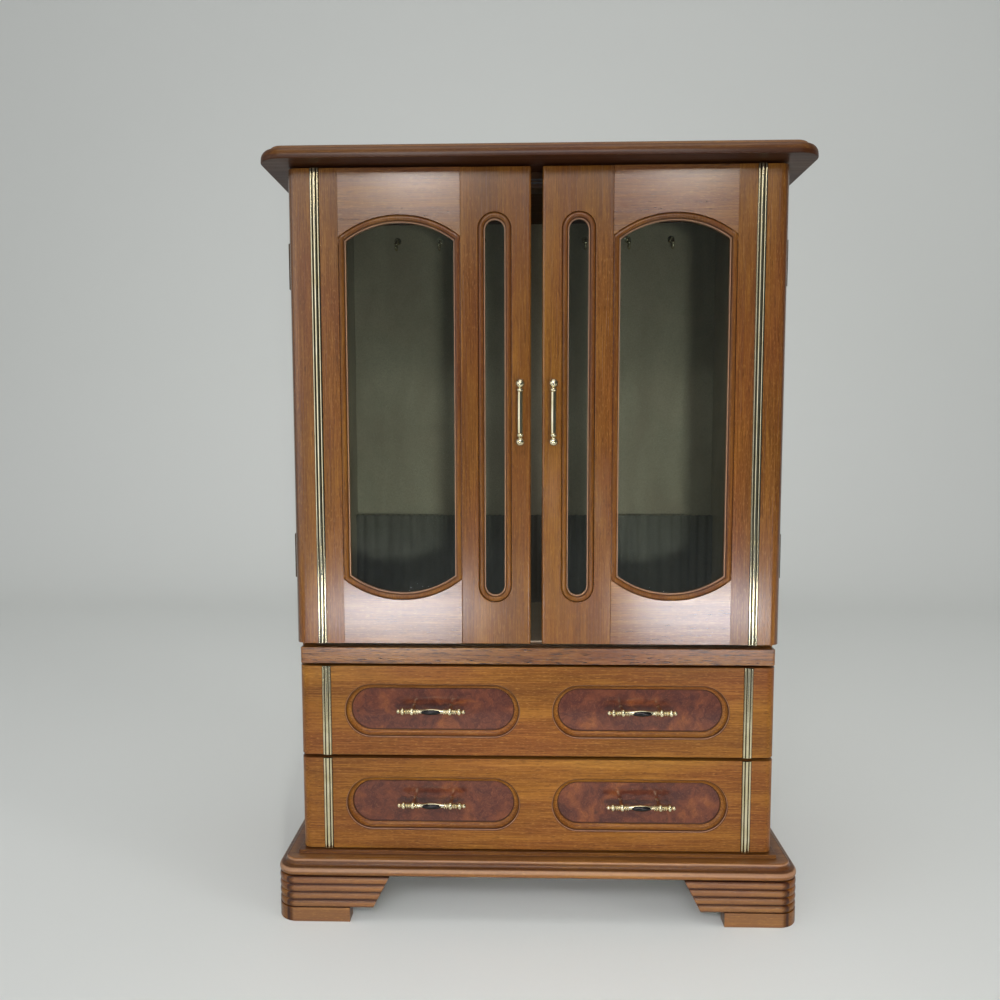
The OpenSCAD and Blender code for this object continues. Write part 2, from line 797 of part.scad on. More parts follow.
module door_handle() {
    half = handle_span / 2;
    collar_z = half - handle_ball_r - 1;
    color(brass) translate([free_x + handle_from_edge, face_y - handle_reach, door_mid_z - handle_drop]) {
        cylinder(h = handle_span, r = handle_rod_r, center = true);
        for (m = [0, 1]) mirror([0, 0, m]) {
            translate([0, 0, half]) {
                sphere(handle_ball_r);
                rotate([-90, 0, 0]) cylinder(h = handle_reach, r = 1.5);
                translate([0, handle_reach - 1, 0]) rotate([-90, 0, 0])
                    cylinder(h = 1, r1 = 1.9, r2 = 2.6);
            }
            translate([0, 0, collar_z]) rotate_extrude()
                polygon([[0, -1.1], [handle_rod_r, -1.1], [handle_rod_r + 0.45, -0.5],
                         [handle_rod_r + 0.45, 0.4], [handle_rod_r, 1], [0, 1]]);
        }
    }
}

module door_strike_plate() {
    z = slab_z - pole_drop;
    x = free_x + 1.5;
    color(steel) block([x, door_back_y, z - strike_h / 2], [x + strike_w, door_back_y + strike_t,
                                                         min(z + strike_h / 2, door_top_z)]);
}

module door_hinge_leaves() {
    color(bronze) difference() {
        for (z = hinge_zs) {
            leaf(z, -1);
            knuckle(z - knuckle_l / 2, -1);
        }
        pin_bore();
        at_hinge_screws(1) screw(screw_clear);
    }
}

module door_hinge_screws() {
    color(bronze) at_hinge_screws(1) screw(0);
}

// ---------------------------------------------------------------- drawers
// Each takes the height of the drawer front's lower edge, and the front's height or
// the height of the box's lower edge.

// section of the slope round a burl panel: [distance in from the rim, depth]
slope_section = concat(
    [[-0.5, -1], [0, -1], [0, 0.7]],
    [for (a = [10:20:90]) [0.7 + (recess_slope - 1.4) * (1 - cos(a)),
                           0.4 + (recess_depth - 1.2) * sin(a)]],
    [[recess_slope - 0.7, recess_depth], [recess_slope, recess_depth]]
);

// everything that is cut away for one oval recess, centred on the origin at the face
module recess_cut() {
    r = recess_h / 2;
    dx = recess_w / 2 - r;
    section = concat([[r, recess_depth], [r, -1]],
                     [for (p = slope_section) if (p[0] >= 0) p]);
    turned = [for (p = section) [r - p[0], p[1]]];
    translate([-dx, 0, 0]) rotate([90, 0, 90]) linear_extrude(2 * dx)
        union() {
            polygon([for (p = turned) [p[1], p[0]]]);
            polygon([for (p = turned) [p[1], -p[0]]]);
        }
    for (s = [-1, 1]) translate([s * dx, 0, 0]) rotate([-90, 0, 0]) rotate_extrude() polygon(turned);
    oval_plate(0, 0, recess_w - 2 * recess_slope, recess_h - 2 * recess_slope,
               recess_depth - 0.5, recess_depth + plaque_t);
}

module drawer_front(z, h) {
    color(wood) difference() {
        upright_board(-front_half, front_half, face_y, box_y, z, z + h, front_edge_r, front_edge_r);
        both_sides() {
            translate([recess_x, face_y, z + h / 2]) recess_cut();
            strip_groove_cut(front_strip_x, z, z + h);
        }
    }
}

module drawer_box(z) {
    y1 = box_y + drawer_box_l;
    color(wood_bare) {
        both_sides()
            block([box_half - drawer_side_t, box_y, z], [box_half, y1, z + drawer_box_h]);
        block([-box_half + drawer_side_t, y1 - drawer_side_t, z],
              [box_half - drawer_side_t, y1, z + drawer_box_h]);
    }
}

module drawer_bottom(z) {
    half = box_half - drawer_side_t;
    z0 = z + bottom_rise;
    color(wood_bare)
        block([-half, box_y, z0], [half, box_y + drawer_box_l - drawer_side_t, z0 + drawer_bottom_t]);
}

module drawer_lining(z) {
    half = box_half - drawer_side_t;
    z0 = z + bottom_rise + drawer_bottom_t;
    y1 = box_y + drawer_box_l - drawer_side_t;
    color(felt) difference() {
        block([-half, box_y, z0], [half, y1, z + drawer_box_h - 2]);
        block([-half + lining_t, box_y + lining_t, z0 + lining_t],
              [half - lining_t, y1 - lining_t, z + drawer_box_h]);
    }
}

module drawer_plaques(z, h) {
    w = recess_w - 2 * recess_slope;
    t = recess_h - 2 * recess_slope;
    color(burl) both_sides()
        oval_plate(recess_x, z + h / 2, w, t, face_y + recess_depth, face_y + recess_depth + plaque_t);
}

module drawer_brass_strips(z, h) {
    color(brass) both_sides() translate([0, 0, z]) linear_extrude(h) strip_section(front_strip_x);
}

bulb_l = 7.6;
neck_r = 1.3;
bead_r = 1.75;
// one half of the pull's turned outline, from its middle: [radius, distance]
pull_outline = concat(
    [for (a = [90:-10:30]) [pull_bulb_r * sin(a), bulb_l * cos(a)]],
    [[neck_r, bulb_l], [neck_r, bulb_l + 1.6], [neck_r + 0.4, bulb_l + 2], [neck_r + 0.4, bulb_l + 2.6]],
    [for (a = [150:-30:30]) [neck_r * 0.7 + (bead_r - neck_r * 0.7) * sin(a),
                             pull_span / 2 + bead_r * cos(a) * 1.1]],
    [[neck_r * 0.8, pull_span / 2 + 2.1], [neck_r + 0.3, pull_span / 2 + 2.5],
     [neck_r + 0.3, pull_span / 2 + 3], [neck_r * 0.8, pull_span / 2 + 3.4]],
    [for (a = [150:-30:30]) [neck_r * 0.6 + (bead_r - neck_r * 0.6) * sin(a),
                             pull_span / 2 + 5.2 + bead_r * cos(a)]],
    [[neck_r * 0.6, pull_l / 2 - 2.6], [neck_r, pull_l / 2 - 1.8], [neck_r * 0.8, pull_l / 2 - 0.7],
     [0, pull_l / 2]]
);
pull_section = concat(
    [for (i = [len(pull_outline) - 1:-1:1]) [pull_outline[i][0], -pull_outline[i][1]]],
    pull_outline
);
// black oval let into the front of the bulb
inlay_l = 13.4;
inlay_h = pull_bulb_r * 1.4;
inlay_back = 0.4;
inlay_proud = 0.15;

module inlay_pocket() {
    oval_plate(0, 0, inlay_l, inlay_h, -3 * pull_bulb_r, -inlay_back);
}

// the bulb's outline, standing proud of it
module proud_bulb() {
    r = pull_bulb_r + inlay_proud;
    l = bulb_l + inlay_proud;
    rotate([0, 90, 0]) rotate_extrude()
        polygon([for (a = [180:-10:0]) [r * sin(a), l * cos(a)]]);
}

module pull() {
    difference() {
        union() {
            rotate([0, 90, 0]) rotate_extrude() polygon(pull_section);
            for (s = [-1, 1]) translate([s * pull_span / 2, 0, 0]) rotate([-90, 0, 0])
                cylinder(h = pull_reach, r1 = 1.6, r2 = 1.15);
        }
        inlay_pocket();
    }
}

module at_pulls(z, h) {
    both_sides() translate([recess_x, face_y + recess_depth - pull_reach, z + h / 2 + pull_rise]) children();
}

module drawer_pulls(z, h) {
    color(brass) at_pulls(z, h) pull();
}

module drawer_pull_inlays(z, h) {
    color(enamel) at_pulls(z, h) intersection() {
        proud_bulb();
        inlay_pocket();
    }
}

upper_box_z = dust_z + dust_t + run_clear;
lower_box_z = deck_z + run_clear;

// ------------------------------------------------------------------ nodes

module left() {
    mirror([1, 0, 0]) children();
}

top_slab();
left() right_side_panel();  // left_side_panel
right_side_panel();
back_panel();
compartment_floor();
mid_rail();
dust_board();
base_board();
left() foot(false);  // front_left_foot
foot(false);  // front_right_foot
left() foot(true);  // back_left_foot
foot(true);  // back_right_foot
back_lining();
compartment_linings();
necklace_hooks();
necklace_pouch();
magnetic_catch();
case_hinge_leaves();
hinge_pins();
case_hinge_screws();

left() door_outer_stile();  // left_door_outer_stile
left() door_inner_stile();  // left_door_inner_stile
left() door_top_rail();  // left_door_top_rail
left() door_bottom_rail();  // left_door_bottom_rail
left() door_mouldings();  // left_door_mouldings
left() door_glass();  // left_door_glass
left() door_glass_beads();  // left_door_glass_beads
left() door_brass_strip();  // left_door_brass_strip
left() door_handle();  // left_door_handle
left() door_strike_plate();  // left_door_strike_plate
left() door_hinge_leaves();  // left_door_hinge_leaves
left() door_hinge_screws();  // left_door_hinge_screws

door_outer_stile();  // right_door_outer_stile
door_inner_stile();  // right_door_inner_stile
door_top_rail();  // right_door_top_rail
door_bottom_rail();  // right_door_bottom_rail
door_mouldings();  // right_door_mouldings
door_glass();  // right_door_glass
door_glass_beads();  // right_door_glass_beads
door_brass_strip();  // right_door_brass_strip
door_handle();  // right_door_handle
door_strike_plate();  // right_door_strike_plate
door_hinge_leaves();  // right_door_hinge_leaves
door_hinge_screws();  // right_door_hinge_screws

drawer_front(upper_z, upper_front_h);  // upper_drawer_front
drawer_box(upper_box_z);  // upper_drawer_box
drawer_bottom(upper_box_z);  // upper_drawer_bottom
drawer_lining(upper_box_z);  // upper_drawer_lining
drawer_plaques(upper_z, upper_front_h);  // upper_drawer_plaques
drawer_brass_strips(upper_z, upper_front_h);  // upper_drawer_brass_strips
drawer_pulls(upper_z, upper_front_h);  // upper_drawer_pulls
drawer_pull_inlays(upper_z, upper_front_h);  // upper_drawer_pull_inlays

drawer_front(lower_z, lower_front_h);  // lower_drawer_front
drawer_box(lower_box_z);  // lower_drawer_box
drawer_bottom(lower_box_z);  // lower_drawer_bottom
drawer_lining(lower_box_z);  // lower_drawer_lining
drawer_plaques(lower_z, lower_front_h);  // lower_drawer_plaques
drawer_brass_strips(lower_z, lower_front_h);  // lower_drawer_brass_strips
drawer_pulls(lower_z, lower_front_h);  // lower_drawer_pulls
drawer_pull_inlays(lower_z, lower_front_h);  // lower_drawer_pull_inlays
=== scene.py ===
import json
import math

import bmesh
import bpy
from mathutils import Matrix, Vector

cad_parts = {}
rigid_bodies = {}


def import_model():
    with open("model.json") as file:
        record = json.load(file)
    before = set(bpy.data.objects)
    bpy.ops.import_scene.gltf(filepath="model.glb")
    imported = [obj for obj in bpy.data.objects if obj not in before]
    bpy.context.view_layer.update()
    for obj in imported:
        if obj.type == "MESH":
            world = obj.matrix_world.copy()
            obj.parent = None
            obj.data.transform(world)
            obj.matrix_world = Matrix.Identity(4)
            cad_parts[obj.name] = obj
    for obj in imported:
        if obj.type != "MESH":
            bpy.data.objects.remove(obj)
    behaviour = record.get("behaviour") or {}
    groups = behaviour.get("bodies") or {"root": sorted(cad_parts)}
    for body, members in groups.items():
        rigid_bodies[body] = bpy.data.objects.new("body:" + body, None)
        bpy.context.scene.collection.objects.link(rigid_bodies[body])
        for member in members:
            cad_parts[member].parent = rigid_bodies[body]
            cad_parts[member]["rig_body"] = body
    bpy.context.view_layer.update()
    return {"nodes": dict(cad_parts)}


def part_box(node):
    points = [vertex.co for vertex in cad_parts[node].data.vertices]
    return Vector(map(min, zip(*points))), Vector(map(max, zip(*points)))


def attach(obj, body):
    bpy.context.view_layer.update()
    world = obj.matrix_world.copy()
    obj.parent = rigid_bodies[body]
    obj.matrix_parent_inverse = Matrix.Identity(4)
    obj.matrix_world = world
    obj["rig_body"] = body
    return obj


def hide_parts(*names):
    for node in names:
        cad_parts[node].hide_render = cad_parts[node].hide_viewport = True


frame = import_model()
nodes = frame["nodes"]
MM = 0.001

bpy.context.scene.view_settings.view_transform = "Standard"


# ---------------------------------------------------------------- the photograph's view

def camera_at_the_photographs_view():
    """The camera was fitted to the straight edges in the photograph."""
    place = (-0.00875, -0.60148, 0.320)
    yaw, pitch, roll = -0.02773, 0.08016, -0.001871
    ahead = Vector((math.sin(yaw) * math.cos(pitch), math.cos(yaw) * math.cos(pitch), -math.sin(pitch)))
    level_right = Vector((math.cos(yaw), -math.sin(yaw), 0))
    level_up = level_right.cross(ahead)
    right = math.cos(roll) * level_right + math.sin(roll) * level_up
    up = math.cos(roll) * level_up - math.sin(roll) * level_right
    lens = bpy.data.cameras.new("camera")
    lens.sensor_width = 36
    lens.lens = 29.68
    lens.clip_start = 0.01
    camera = bpy.data.objects.new("camera", lens)
    turn = Matrix((right, up, -ahead)).transposed().to_4x4()
    camera.matrix_world = Matrix.Translation(place) @ turn
    bpy.context.scene.collection.objects.link(camera)
    bpy.context.scene.camera = camera


# ---------------------------------------------------------------- material kit

# a Mix node has inputs of the same name for numbers and for colours, so its colour ones go by place
MIX_FACTOR, MIX_UNDER, MIX_OVER, MIX_COLOUR = 0, 6, 7, 2


def srgb(code):
    """A #rrggbb colour as the linear values that Blender works in."""
    values = [int(code[i:i + 2], 16) / 255 for i in (1, 3, 5)]
    return [v / 12.92 if v <= 0.04045 else ((v + 0.055) / 1.055) ** 2.4 for v in values] + [1.0]


def add(tree, kind, inputs=None, stops=(), **settings):
    """Adds a node with its settings. An input is given a value, a #rrggbb colour or a link from a
    socket, and a colour ramp is given its stops, each a position and a colour."""
    node = tree.nodes.new(kind)
    for name, value in settings.items():
        setattr(node, name, value)
    for name, value in (inputs or {}).items():
        socket = node.inputs[name]
        if isinstance(value, bpy.types.NodeSocket):
            tree.links.new(value, socket)
        else:
            socket.default_value = srgb(value) if isinstance(value, str) else value
    for i, (position, code) in enumerate(stops):
        elements = node.color_ramp.elements
        element = elements[i] if i < len(elements) else elements.new(position)
        element.position = position
        element.color = srgb(code)
    return node


def new_material(name, **constants):
    """An empty material with a Principled shader, its plain values set on the shader itself."""
    material = bpy.data.materials.new(name)
    material.use_nodes = True
    tree = material.node_tree
    shader = tree.nodes["Principled BSDF"]
    for key, value in constants.items():
        shader.inputs[key.replace("_", " ").title().replace("Ior", "IOR")].default_value = value
    return material, tree, shader


def stretched(tree, grain, long_mm, wide_mm):
    """Object coordinates on which one unit is long_mm along the grain and wide_mm across it, or
    wide_mm every way where there is no grain."""
    scale = [1 / (wide_mm * MM)] * 3
    if grain:
        scale["XYZ".index(grain)] = 1 / (long_mm * MM)
    place = add(tree, "ShaderNodeTexCoord").outputs["Object"]
    return add(tree, "ShaderNodeMapping", {"Vector": place, "Scale": scale}).outputs["Vector"]


def pattern(tree, grain, long_mm, wide_mm, board=None, detail=3.0, rough=0.5, twist=0.0):
    """Fractal noise of a real size. Where a board number is given, each board has its own."""
    inputs = {"Vector": stretched(tree, grain, long_mm, wide_mm), "Scale": 1.0, "Detail": detail,
              "Roughness": rough, "Distortion": twist}
    if board is None:
        return add(tree, "ShaderNodeTexNoise", inputs).outputs["Fac"]
    inputs["W"] = board
    return add(tree, "ShaderNodeTexNoise", inputs, noise_dimensions="4D").outputs["Fac"]


def coloured(tree, figure, shades, stains=()):
    """Colours a pattern through its shades, and lays stains over them in turn. A stain is (pattern,
    from, to, cover, colour): it covers nothing where its pattern is at from, and that share of
    what is under it where its pattern is at to."""
    body = add(tree, "ShaderNodeValToRGB", {"Fac": figure}, shades).outputs["Color"]
    for mark, start, end, cover, colour in stains:
        share = add(tree, "ShaderNodeMapRange", {"Value": mark, "From Min": start, "From Max": end,
                                                 "To Min": 0.0, "To Max": cover}).outputs["Result"]
        body = add(tree, "ShaderNodeMix", {MIX_FACTOR: share, MIX_UNDER: body, MIX_OVER: colour},
                   data_type="RGBA").outputs[MIX_COLOUR]
    return body


def surfaced(tree, shader, body, gloss, relief=None):
    """Gives the shader its colour, its gloss as (pattern, from, to, roughness at from, roughness at
    to), and its relief as (height pattern, strength, depth in millimetres)."""
    patch, start, end, smooth, dull = gloss
    rough = add(tree, "ShaderNodeMapRange", {"Value": patch, "From Min": start, "From Max": end,
                                             "To Min": smooth, "To Max": dull}).outputs["Result"]
    tree.links.new(body, shader.inputs["Base Color"])
    tree.links.new(rough, shader.inputs["Roughness"])
    if relief:
        height, strength, depth = relief
        bump = add(tree, "ShaderNodeBump", {"Height": height, "Strength": strength, "Distance": depth * MM})
        tree.links.new(bump.outputs["Normal"], shader.inputs["Normal"])


# ---------------------------------------------------------------- materials

# for each finish: roughness of the lacquer at its smoothest and its dullest, depth of the relief in
# millimetres, how open and dark the pores are, and the shader's constants
FINISHES = {
    "matt": dict(smooth=0.38, dull=0.52, relief=0.04, pores=0.4,
                 shader=dict(anisotropic=0.5, specular_ior_level=0.13, coat_weight=0.22,
                             coat_roughness=0.2)),
    "rubbed": dict(smooth=0.26, dull=0.38, relief=0.045, pores=0.4,
                   shader=dict(anisotropic=0.4, specular_ior_level=0.2, coat_weight=0.22,
                               coat_roughness=0.18)),
    "silky": dict(smooth=0.20, dull=0.30, relief=0.04, pores=0.4,
                  shader=dict(anisotropic=0.35, specular_ior_level=0.3, coat_weight=0.7,
                              coat_roughness=0.18)),
    "satin": dict(smooth=0.18, dull=0.27, relief=0.0325, pores=0.4,
                  shader=dict(anisotropic=0.35, ior=1.6, coat_weight=1.0, coat_ior=1.6,
                              coat_roughness=0.18)),
    "open_pored": dict(smooth=0.22, dull=0.34, relief=0.16, pores=0.85,
                       shader=dict(anisotropic=0.35, coat_weight=0.7, coat_roughness=0.2)),
}


def stained_hardwood(grain, finish="matt"):
    """Close-pored hardwood, wiped with brown stain and sprayed with nitrocellulose lacquer. The stain
    lies golden and red in long soft streaks, with darker lines and fine pale flecks along the grain.
    The tone attribute darkens it to a deep red-brown: evenly on some boards, and as painted shade in
    grooves, hollows, on rounded edges and under overhangs. Painted pale highlights lie on edges, lips
    and crests. The lacquer is thin and matt on most boards. It is rubbed on the base, feet and
    mouldings, silky on the stiles and a satin on the door rails, and it has sunk into the open pores
    of the rail under the doors."""
    look = FINISHES[finish]
    pores = look["pores"]
    material, tree, shader = new_material(finish + "_hardwood_grain_" + grain.lower(), **look["shader"])
    board, tone, painted_highlight = (add(tree, "ShaderNodeAttribute", attribute_name=name).outputs["Fac"]
                         for name in ("board", "tone", "painted_highlight"))
    figure = pattern(tree, grain, 260, 18, board, 3, 0.55, 0.5)
    streak = pattern(tree, grain, 120, 3.2, board, 4, 0.6, 0.2)
    cloud = pattern(tree, grain, 110, 34, board, 2, 0.5)
    # real grain lines are about 0.3 mm apart, drawn at 0.7 mm to show at this size
    line = pattern(tree, grain, 30, 0.7, board, 3, 0.65)
    fleck = pattern(tree, grain, 3.5, 0.5, board, 2, 0.55)
    # pores 2.5 mm long and 0.1 mm wide, drawn at 0.5 mm, and longer where they run together
    pore = pattern(tree, grain, 3.2 + 5 * pores, 0.4 + 0.35 * pores, board, 1, 0.5, 1.5 * max(0, pores - 0.4))
    # orange peel of the sprayed lacquer, about 1 mm from bump to bump
    peel = pattern(tree, grain, 1.6, 0.9, board, 1, 0.5)
    body = coloured(
        tree, figure,
        [(0.34, "#613a11"), (0.46, "#714615"), (0.56, "#7f5117"), (0.68, "#8e6022")],
        [(cloud, 0.42, 0.62, 0.5, "#6e391c"),
         (streak, 0.42, 0.66, 0.36, "#572c10"),
         (line, 0.42, 0.66, 0.42, "#45230e"),
         (line, 0.50, 0.30, 0.22, "#ac7c3a"),
         (fleck, 0.56, 0.72, 0.35, "#b58546"),
         (pore, 0.62 - 0.1 * pores, 0.74 - 0.1 * pores, pores, "#2c1407"),
         # tone: stain, and painted shade in grooves, hollows and under edges; then pale painted highlights
         (tone, 0.0, 1.0, 1.0, "#2c110a"),
         (painted_highlight, 0.0, 1.0, 1.0, "#bd9c84")])
    # the pores sink into the skin of lacquer, and the skin follows the lines of the grain
    skin = add(tree, "ShaderNodeMath", {0: pore, 1: -0.7, 2: peel}, operation="MULTIPLY_ADD").outputs[0]
    height = add(tree, "ShaderNodeMath", {0: skin, 1: 0.8, 2: line}, operation="MULTIPLY_ADD").outputs[0]
    surfaced(tree, shader, body, (streak, 0.3, 0.7, look["smooth"], look["dull"]),
             (height, 1.0, look["relief"]))
    tangent = add(tree, "ShaderNodeTangent", direction_type="UV_MAP", uv_map="across_grain")
    tree.links.new(tangent.outputs["Tangent"], shader.inputs["Tangent"])
    return material


def bare_wood():
    """Unfinished softwood and plywood faces inside the case: dry, pale, faintly pink, no shine."""
    material, tree, shader = new_material("bare_wood", ior=1.45)
    board = add(tree, "ShaderNodeAttribute", attribute_name="board").outputs["Fac"]
    figure = pattern(tree, "X", 180, 14, board, 3, 0.55, 0.8)
    fibre = pattern(tree, "X", 12, 0.5, board, 3, 0.6)
    body = coloured(tree, figure, [(0.3, "#8f6e4f"), (0.5, "#a58460"), (0.7, "#b89a74")],
                    [(fibre, 0.4, 0.75, 0.35, "#6e4d34")])
    surfaced(tree, shader, body, (fibre, 0.3, 0.7, 0.62, 0.85), (fibre, 0.35, 0.2))
    return material


def burl_veneer():
    """Walnut burl, stained red-brown and polished: soft clouded figure, an amber patch here and
    there, short curling fibres and a few small dark eyes."""
    material, tree, shader = new_material("burl_veneer", coat_weight=0.6, coat_ior=1.55, coat_roughness=0.09,
                                          specular_ior_level=0.2)
    board = add(tree, "ShaderNodeAttribute", attribute_name="board").outputs["Fac"]
    place = stretched(tree, None, 1, 1)
    # the whole figure is pushed about by up to 24 mm, in drifts of 20 mm
    drift = add(tree, "ShaderNodeTexNoise", {"Vector": place, "W": board, "Scale": 0.05, "Detail": 3.0,
                                             "Roughness": 0.6}, noise_dimensions="4D").outputs["Color"]
    moved = add(tree, "ShaderNodeVectorMath", {0: drift, 1: (24.0, 24.0, 24.0), 2: place},
                operation="MULTIPLY_ADD").outputs[0]
    cloud, swirl, fibre = (
        add(tree, "ShaderNodeTexNoise", {"Vector": moved, "Scale": per_mm, "Detail": detail,
                                         "Roughness": 0.6, "Distortion": twist}).outputs["Fac"]
        for per_mm, detail, twist in ((0.055, 2.0, 0.6), (0.13, 4.0, 1.6), (1.1, 3.0, 0.4)))
    eyes = add(tree, "ShaderNodeTexVoronoi", {"Vector": moved, "Scale": 0.07, "Randomness": 1.0})
    body = coloured(
        tree, cloud,
        [(0.32, "#391710"), (0.46, "#451e13"), (0.58, "#572a16"), (0.72, "#733f1a")],
        [(swirl, 0.42, 0.72, 0.36, "#6f3b20"),
         (swirl, 0.50, 0.26, 0.5, "#36140d"),
         (eyes.outputs["Distance"], 0.14, 0.03, 0.6, "#260f0a"),
         (fibre, 0.45, 0.75, 0.30, "#3a1811"),
         (fibre, 0.46, 0.25, 0.22, "#9a6a48")])
    surfaced(tree, shader, body, (swirl, 0.3, 0.7, 0.30, 0.42), (fibre, 0.12, 0.1))
    return material


def polished_brass():
    """Drawn and cast brass, buffed and lacquered: pale yellow metal, hardly clouded, faintly scuffed.
    Where its tone is dark it is darkened: tarnish in a strip's grooves and painted shade on its beads."""
    material, tree, shader = new_material("polished_brass", metallic=1.0)
    tone = add(tree, "ShaderNodeAttribute", attribute_name="tone").outputs["Fac"]
    cloud = pattern(tree, None, 1, 9)
    scuff = pattern(tree, None, 1, 1.5, rough=0.6)
    # dark where tone is set: tarnish and painted shade
    body = coloured(tree, cloud, [(0.35, "#ece2c0"), (0.70, "#d8cba2")], [(tone, 0.0, 1.0, 1.0, "#4a3f26")])
    surfaced(tree, shader, body, (cloud, 0.3, 0.75, 0.10, 0.20), (scuff, 0.01, 0.05))
    return material


def darkened_bronze():
    """Brass chemically darkened to antique bronze, rubbed through to the metal in specks."""
    material, tree, shader = new_material("darkened_bronze", metallic=1.0)
    cloud = pattern(tree, None, 1, 1.6, detail=4, rough=0.6)
    body = coloured(tree, cloud, [(0.35, "#3a2a1a"), (0.58, "#54402a"), (0.75, "#8a6d42")])
    surfaced(tree, shader, body, (cloud, 0.3, 0.7, 0.34, 0.5), (cloud, 0.15, 0.1))
    return material


def plain_steel():
    """Zinc-plated steel strip: cool grey, rolled, a little cloudy."""
    material, tree, shader = new_material("zinc_plated_steel", metallic=1.0)
    cloud = pattern(tree, None, 1, 4, detail=4, rough=0.6)
    rolled = pattern(tree, "X", 8, 0.3, rough=0.6)
    body = coloured(tree, cloud, [(0.3, "#b9bdbf"), (0.7, "#8b8f91")])
    surfaced(tree, shader, body, (cloud, 0.3, 0.7, 0.25, 0.42), (rolled, 0.1, 0.1))
    return material


def window_glass():
    """Float glass 2 mm thick, faintly green, with a few finger smears. Lamps shine through it."""
    material, tree, shader = new_material("float_glass", transmission_weight=1.0, ior=1.5)
    smear = pattern(tree, None, 1, 38, detail=5, rough=0.62, twist=1.2)
    body = coloured(tree, smear, [(0.3, "#eef5f1"), (0.7, "#e4ede8")])
    surfaced(tree, shader, body, (smear, 0.45, 0.75, 0.0, 0.06))
    path = add(tree, "ShaderNodeLightPath").outputs
    lit = add(tree, "ShaderNodeMath", {0: path["Is Shadow Ray"], 1: path["Is Diffuse Ray"]},
              operation="MAXIMUM").outputs[0]
    clear = add(tree, "ShaderNodeBsdfTransparent", {"Color": "#e6eeea"}).outputs[0]
    pane = add(tree, "ShaderNodeMixShader", {0: lit, 1: shader.outputs[0], 2: clear}).outputs[0]
    tree.links.new(pane, tree.nodes["Material Output"].inputs["Surface"])
    return material


def rayon_velvet(name, shades, root):
    """Short-pile rayon velvet: soft and light-absorbing, brushed lighter and darker in patches."""
    material, tree, shader = new_material(name, sheen_weight=0.25, sheen_roughness=0.45,
                                          sheen_tint=srgb(shades[2]), specular_ior_level=0.15)
    pile = pattern(tree, None, 1, 0.9, detail=2, rough=0.6)
    brushed = pattern(tree, "Z", 70, 28, twist=0.6)
    body = coloured(tree, brushed, zip((0.35, 0.55, 0.75), shades), [(pile, 0.4, 0.75, 0.35, root)])
    surfaced(tree, shader, body, (pile, 0.3, 0.7, 0.85, 1.0), (pile, 0.5, 0.3))
    return material


def black_enamel():
    """Fired black enamel: deep, glassy, very slightly wavy."""
    material, tree, shader = new_material("black_enamel", coat_weight=0.25, coat_roughness=0.05,
                                          specular_ior_level=0.2)
    wave = pattern(tree, None, 1, 2.5, detail=2)
    body = coloured(tree, wave, [(0.3, "#080706"), (0.7, "#0e0c0a")])
    surfaced(tree, shader, body, (wave, 0.3, 0.7, 0.07, 0.14), (wave, 0.1, 0.1))
    return material


def catch_plastic():
    """Injection-moulded brown ABS with a fine spark-eroded texture."""
    material, tree, shader = new_material("moulded_brown_abs", ior=1.52)
    grit = pattern(tree, None, 1, 0.4, detail=2, rough=0.6)
    body = coloured(tree, grit, [(0.3, "#3a2618"), (0.7, "#46301f")])
    surfaced(tree, shader, body, (grit, 0.3, 0.7, 0.42, 0.55), (grit, 0.3, 0.1))
    return material


hardwood = {axis: stained_hardwood(axis) for axis in "XZ"}
satin_hardwood = stained_hardwood("X", "satin")
rubbed_hardwood = stained_hardwood("X", "rubbed")
rubbed_upright_hardwood = stained_hardwood("Z", "rubbed")
silky_hardwood = stained_hardwood("Z", "silky")
open_hardwood = stained_hardwood("X", "open_pored")
softwood = bare_wood()
burl = burl_veneer()
brass = polished_brass()
bronze = darkened_bronze()
steel = plain_steel()
glass = window_glass()
velvet = rayon_velvet("olive_taupe_velvet", ("#918170", "#988a78", "#9f9280"), "#6a6053")
# the pouch velvet is made darker than the lining's, as painted shade for the foot of the compartment
shade_darkened_velvet = rayon_velvet("slate_velvet", ("#605952", "#68615a", "#716a61"), "#48433d")
enamel = black_enamel()
plastic = catch_plastic()


# ---------------------------------------------------------------- shades of stain, painted shade and painted highlights

# A shade takes a face, a corner's place and whether the face is a sanded edge, and returns how dark
# the stain and painted shade are there and how strong a painted highlight is, each from 0 to 1. Its
# named distances are millimetres.

face_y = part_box("left_door_inner_stile")[0][1]
slab_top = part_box("top_slab")[1][2] / MM
foot_front, foot_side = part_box("front_right_foot")[0][1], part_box("front_right_foot")[1][0]
base_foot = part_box("base_board")[0][2] / MM
deck_front = face_y - 4 * MM
stile_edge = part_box("right_door_outer_stile")[1][0]


def evenly(tone=0.0, edge=0.0):
    """A shade of stain that is the same all over, with a painted highlight on the eased edges."""
    # edge: a painted highlight on the eased edges
    return lambda face, spot, eased_edge: (tone, edge if eased_edge else 0.0)


def over_moulding(face, spot, eased_edge):
    """A moulding is stained a little darker than the boards, and painted shade deepens it into its groove and
    valley; a painted highlight lies on its inner lip.
    """
    lip_front, lip_back = 1.9, 2.3
    behind = (spot.y - face_y) / MM
    # the inner lip: a painted highlight
    if lip_front < behind < lip_back:
        return (0.0, 0.4)
    # the valley behind the lip: painted shade
    if behind > lip_front:
        return (0.75, 0.0)
    # the face stained darker, deepening into painted shade down the groove
    return (min(0.9, max(0.25, 0.25 + 0.5 * behind)), 0.0)


